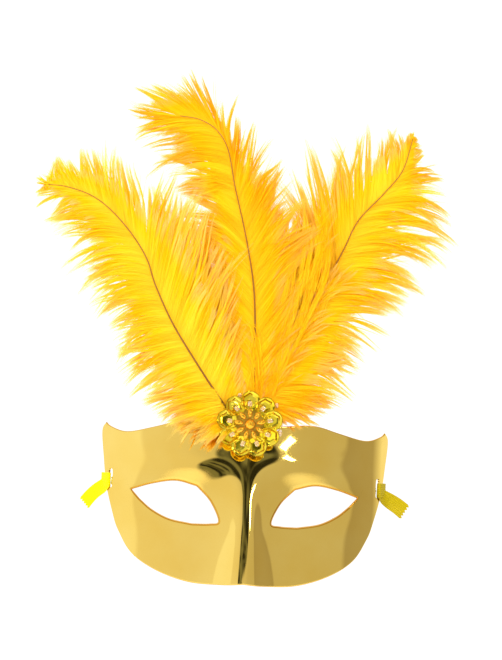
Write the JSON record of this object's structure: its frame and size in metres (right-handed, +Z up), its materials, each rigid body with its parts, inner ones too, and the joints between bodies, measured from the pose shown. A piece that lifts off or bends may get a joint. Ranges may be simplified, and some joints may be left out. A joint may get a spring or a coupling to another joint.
{
  "type": "feathered masquerade mask",
  "caption": "Gilded half-mask with shaped eye openings and a nose ridge, ostrich plumes fanned up from a sequin-and-bead flower, and folded ribbon ties at side slots.",
  "frame": {"origin": "inner face of the nose bridge, level with the eye openings, where the mask rests on the face", "axes": "+X to the viewer's right, -Y out of the front towards the viewer, +Z up towards the plumes"},
  "size_m": [0.2354, 0.0596, 0.2824],
  "materials": {
    "gold_shell": "vacuum-metallised gold plastic, mirror-smooth",
    "hot_glue": "set hot-melt glue",
    "backing_card": "gilded card disc",
    "brass_wire": "gold-lacquered wire",
    "gold_bead": "metallised bead",
    "petal_sequin": "metallised film, pressed into facets",
    "quill": "dyed feather shaft",
    "plume_left": "dyed ostrich barbs",
    "plume_centre": "dyed ostrich barbs",
    "plume_right": "dyed ostrich barbs",
    "ribbon": "satin ribbon",
    "band_thread": "wound thread",
    "clear_bead": "clear, faintly pink"
  },
  "bodies": {
    "mask": {"mask_shell": "gold_shell", "glue_pad": "hot_glue", "flower_backing": "backing_card", "flower_wires": "brass_wire", "centre_bead": "gold_bead", "petal_1": "petal_sequin", "petal_2": "petal_sequin", "petal_3": "petal_sequin", "petal_4": "petal_sequin", "petal_5": "petal_sequin", "petal_6": "petal_sequin", "petal_7": "petal_sequin", "petal_8": "petal_sequin", "petal_9": "petal_sequin", "oval_bead_1": "gold_bead", "oval_bead_2": "gold_bead", "oval_bead_3": "gold_bead", "oval_bead_4": "gold_bead", "oval_bead_5": "gold_bead", "oval_bead_6": "gold_bead", "oval_bead_7": "gold_bead", "oval_bead_8": "gold_bead", "oval_bead_9": "gold_bead", "clear_bead_1": "clear_bead", "clear_bead_2": "clear_bead", "clear_bead_3": "clear_bead", "clear_bead_4": "clear_bead", "clear_bead_5": "clear_bead", "clear_bead_6": "clear_bead", "clear_bead_7": "clear_bead", "clear_bead_8": "clear_bead", "clear_bead_9": "clear_bead", "left_quill": "quill", "centre_quill": "quill", "right_quill": "quill", "left_vane": "plume_left", "centre_vane": "plume_centre", "right_vane": "plume_right", "left_base_fluff": "plume_left", "right_base_fluff": "plume_centre", "left_ribbon": "ribbon", "right_ribbon": "ribbon"},
    "left_fold": {"left_tie": "ribbon", "left_tie_band": "band_thread"},
    "right_fold": {"right_tie": "ribbon", "right_tie_band": "band_thread"}
  },
  "joints": [
    {"name": "left_tie_swing", "type": "hinge", "parent": "mask", "child": "left_fold", "pos_m": [-0.0682, 0.0383, 0.01], "axis": [1, 0, 0], "range_deg": [0, 85]},
    {"name": "right_tie_swing", "type": "hinge", "parent": "mask", "child": "right_fold", "pos_m": [0.0682, 0.0383, 0.01], "axis": [1, 0, 0], "range_deg": [0, 85]}
  ]
}
